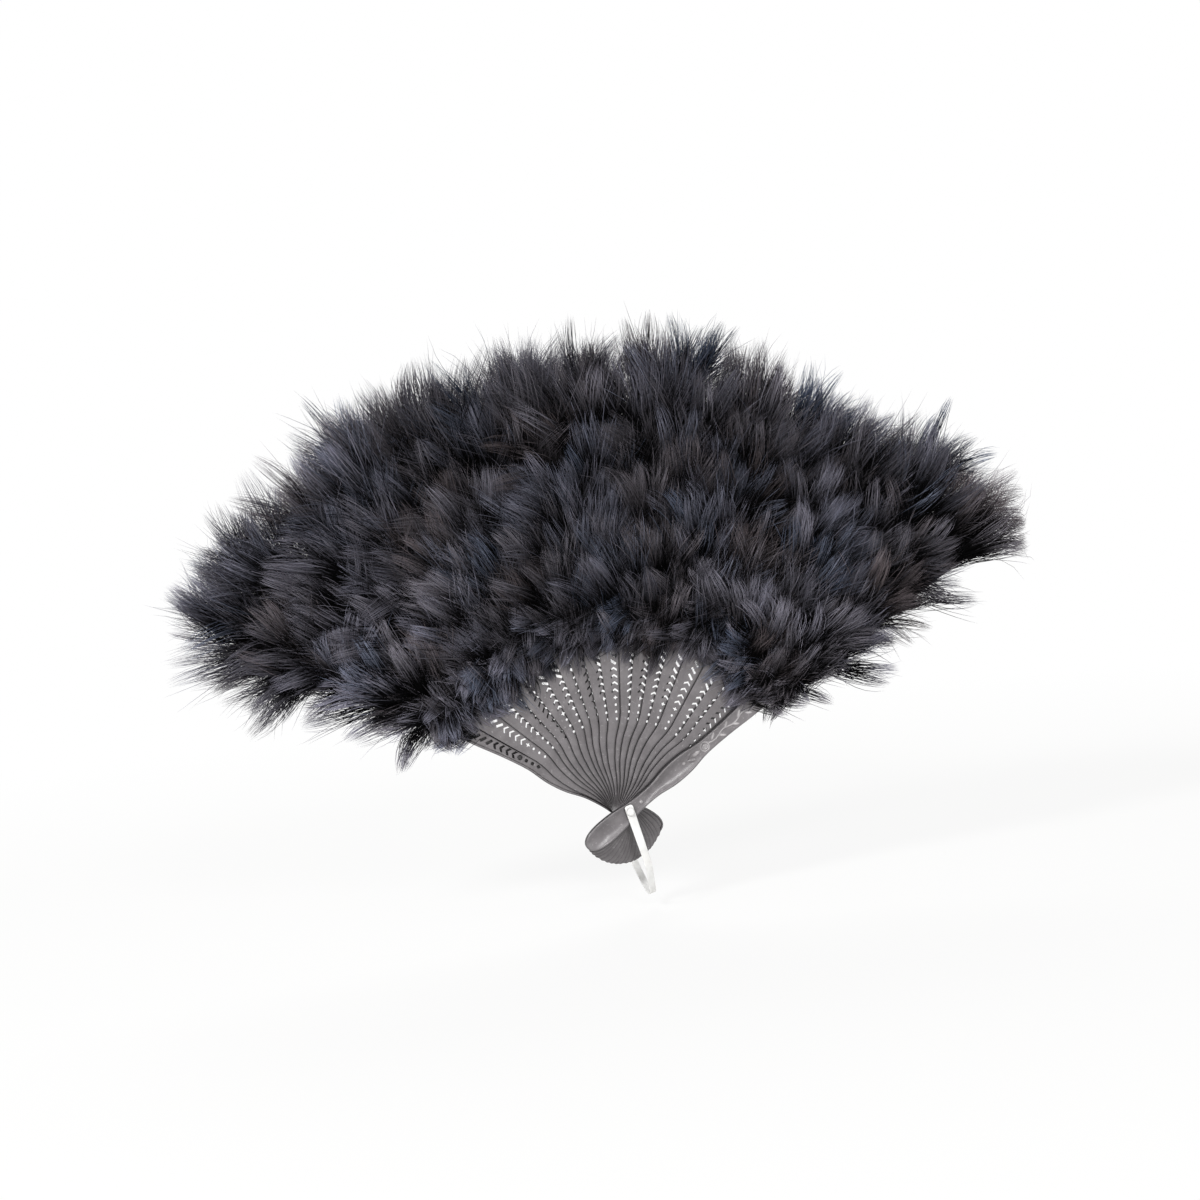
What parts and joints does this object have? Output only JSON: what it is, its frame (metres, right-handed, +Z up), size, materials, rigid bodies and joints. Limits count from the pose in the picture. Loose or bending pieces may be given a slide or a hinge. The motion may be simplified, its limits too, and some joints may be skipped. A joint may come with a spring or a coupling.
{
  "type": "feather fan",
  "caption": "Folding hand fan: pierced plastic sticks between two moulded guards on a pivot pin, each stave carrying a soft feather plume, with a hanging loop at the pivot.",
  "frame": {"origin": "on the pivot axis, half way through the stack of staves", "axes": "+X across the open fan, +Z up along its middle line from the pivot to the feather tips, -Y the front, where the right-hand guard lies on top"},
  "size_m": [0.4784, 0.0516, 0.3347],
  "materials": {
    "grey_plastic": "moulded, satin",
    "feather": "soft dyed down",
    "white_plastic": "smooth",
    "thread": "twisted"
  },
  "bodies": {
    "front_guard": {"front_guard": "grey_plastic", "front_guard_plume": "feather", "pivot_pin": "white_plastic", "pin_cap": "white_plastic", "linking_cord": "thread"},
    "stick_01": {"stick_01": "grey_plastic", "plume_01": "feather"},
    "stick_02": {"stick_02": "grey_plastic", "plume_02": "feather"},
    "stick_03": {"stick_03": "grey_plastic", "plume_03": "feather"},
    "stick_04": {"stick_04": "grey_plastic", "plume_04": "feather"},
    "stick_05": {"stick_05": "grey_plastic", "plume_05": "feather"},
    "stick_06": {"stick_06": "grey_plastic", "plume_06": "feather"},
    "stick_07": {"stick_07": "grey_plastic", "plume_07": "feather"},
    "stick_08": {"stick_08": "grey_plastic", "plume_08": "feather"},
    "stick_09": {"stick_09": "grey_plastic", "plume_09": "feather"},
    "stick_10": {"stick_10": "grey_plastic", "plume_10": "feather"},
    "stick_11": {"stick_11": "grey_plastic", "plume_11": "feather"},
    "stick_12": {"stick_12": "grey_plastic", "plume_12": "feather"},
    "stick_13": {"stick_13": "grey_plastic", "plume_13": "feather"},
    "stick_14": {"stick_14": "grey_plastic", "plume_14": "feather"},
    "stick_15": {"stick_15": "grey_plastic", "plume_15": "feather"},
    "stick_16": {"stick_16": "grey_plastic", "plume_16": "feather"},
    "stick_17": {"stick_17": "grey_plastic", "plume_17": "feather"},
    "stick_18": {"stick_18": "grey_plastic", "plume_18": "feather"},
    "back_guard": {"back_guard": "grey_plastic", "back_guard_plume": "feather"},
    "hanging_loop": {"hanging_loop": "white_plastic"}
  },
  "joints": [
    {"name": "fan_fold", "type": "hinge", "parent": "front_guard", "child": "back_guard", "pos_m": [0, 0, 0], "axis": [0, 1, 0], "range_deg": [0, 113.9], "deforming": ["linking_cord"]},
    {"name": "stick_01_turn", "type": "hinge", "parent": "front_guard", "child": "stick_01", "pos_m": [0, 0, 0], "axis": [0, 1, 0], "range_deg": [0, 6.1]},
    {"name": "stick_02_turn", "type": "hinge", "parent": "front_guard", "child": "stick_02", "pos_m": [0, 0, 0], "axis": [0, 1, 0], "range_deg": [0, 10.9]},
    {"name": "stick_03_turn", "type": "hinge", "parent": "front_guard", "child": "stick_03", "pos_m": [0, 0, 0], "axis": [0, 1, 0], "range_deg": [0, 16.7]},
    {"name": "stick_04_turn", "type": "hinge", "parent": "front_guard", "child": "stick_04", "pos_m": [0, 0, 0], "axis": [0, 1, 0], "range_deg": [0, 24.3]},
    {"name": "stick_05_turn", "type": "hinge", "parent": "front_guard", "child": "stick_05", "pos_m": [0, 0, 0], "axis": [0, 1, 0], "range_deg": [0, 30.9]},
    {"name": "stick_06_turn", "type": "hinge", "parent": "front_guard", "child": "stick_06", "pos_m": [0, 0, 0], "axis": [0, 1, 0], "range_deg": [0, 36.4]},
    {"name": "stick_07_turn", "type": "hinge", "parent": "front_guard", "child": "stick_07", "pos_m": [0, 0, 0], "axis": [0, 1, 0], "range_deg": [0, 42.7]},
    {"name": "stick_08_turn", "type": "hinge", "parent": "front_guard", "child": "stick_08", "pos_m": [0, 0, 0], "axis": [0, 1, 0], "range_deg": [0, 47.8]},
    {"name": "stick_09_turn", "type": "hinge", "parent": "front_guard", "child": "stick_09", "pos_m": [0, 0, 0], "axis": [0, 1, 0], "range_deg": [0, 55.2]},
    {"name": "stick_10_turn", "type": "hinge", "parent": "front_guard", "child": "stick_10", "pos_m": [0, 0, 0], "axis": [0, 1, 0], "range_deg": [0, 60.9]},
    {"name": "stick_11_turn", "type": "hinge", "parent": "front_guard", "child": "stick_11", "pos_m": [0, 0, 0], "axis": [0, 1, 0], "range_deg": [0, 66.2]},
    {"name": "stick_12_turn", "type": "hinge", "parent": "front_guard", "child": "stick_12", "pos_m": [0, 0, 0], "axis": [0, 1, 0], "range_deg": [0, 70.7]},
    {"name": "stick_13_turn", "type": "hinge", "parent": "front_guard", "child": "stick_13", "pos_m": [0, 0, 0], "axis": [0, 1, 0], "range_deg": [0, 76.7]},
    {"name": "stick_14_turn", "type": "hinge", "parent": "front_guard", "child": "stick_14", "pos_m": [0, 0, 0], "axis": [0, 1, 0], "range_deg": [0, 82.6]},
    {"name": "stick_15_turn", "type": "hinge", "parent": "front_guard", "child": "stick_15", "pos_m": [0, 0, 0], "axis": [0, 1, 0], "range_deg": [0, 88.6]},
    {"name": "stick_16_turn", "type": "hinge", "parent": "front_guard", "child": "stick_16", "pos_m": [0, 0, 0], "axis": [0, 1, 0], "range_deg": [0, 93]},
    {"name": "stick_17_turn", "type": "hinge", "parent": "front_guard", "child": "stick_17", "pos_m": [0, 0, 0], "axis": [0, 1, 0], "range_deg": [0, 98.7]},
    {"name": "stick_18_turn", "type": "hinge", "parent": "front_guard", "child": "stick_18", "pos_m": [0, 0, 0], "axis": [0, 1, 0], "range_deg": [0, 106.3]},
    {"name": "loop_swing", "type": "hinge", "parent": "front_guard", "child": "hanging_loop", "pos_m": [0, 0, 0], "axis": [0, 1, 0], "range_deg": [-86, 114]}
  ],
  "couplings": [
    {"joint": "stick_01_turn", "follows": "fan_fold", "ratio": 0.053555},
    {"joint": "stick_02_turn", "follows": "fan_fold", "ratio": 0.095697},
    {"joint": "stick_03_turn", "follows": "fan_fold", "ratio": 0.14662},
    {"joint": "stick_04_turn", "follows": "fan_fold", "ratio": 0.21335},
    {"joint": "stick_05_turn", "follows": "fan_fold", "ratio": 0.27129},
    {"joint": "stick_06_turn", "follows": "fan_fold", "ratio": 0.31958},
    {"joint": "stick_07_turn", "follows": "fan_fold", "ratio": 0.37489},
    {"joint": "stick_08_turn", "follows": "fan_fold", "ratio": 0.41967},
    {"joint": "stick_09_turn", "follows": "fan_fold", "ratio": 0.48463},
    {"joint": "stick_10_turn", "follows": "fan_fold", "ratio": 0.53468},
    {"joint": "stick_11_turn", "follows": "fan_fold", "ratio": 0.58121},
    {"joint": "stick_12_turn", "follows": "fan_fold", "ratio": 0.62072},
    {"joint": "stick_13_turn", "follows": "fan_fold", "ratio": 0.6734},
    {"joint": "stick_14_turn", "follows": "fan_fold", "ratio": 0.7252},
    {"joint": "stick_15_turn", "follows": "fan_fold", "ratio": 0.77787},
    {"joint": "stick_16_turn", "follows": "fan_fold", "ratio": 0.81651},
    {"joint": "stick_17_turn", "follows": "fan_fold", "ratio": 0.86655},
    {"joint": "stick_18_turn", "follows": "fan_fold", "ratio": 0.93327}
  ]
}
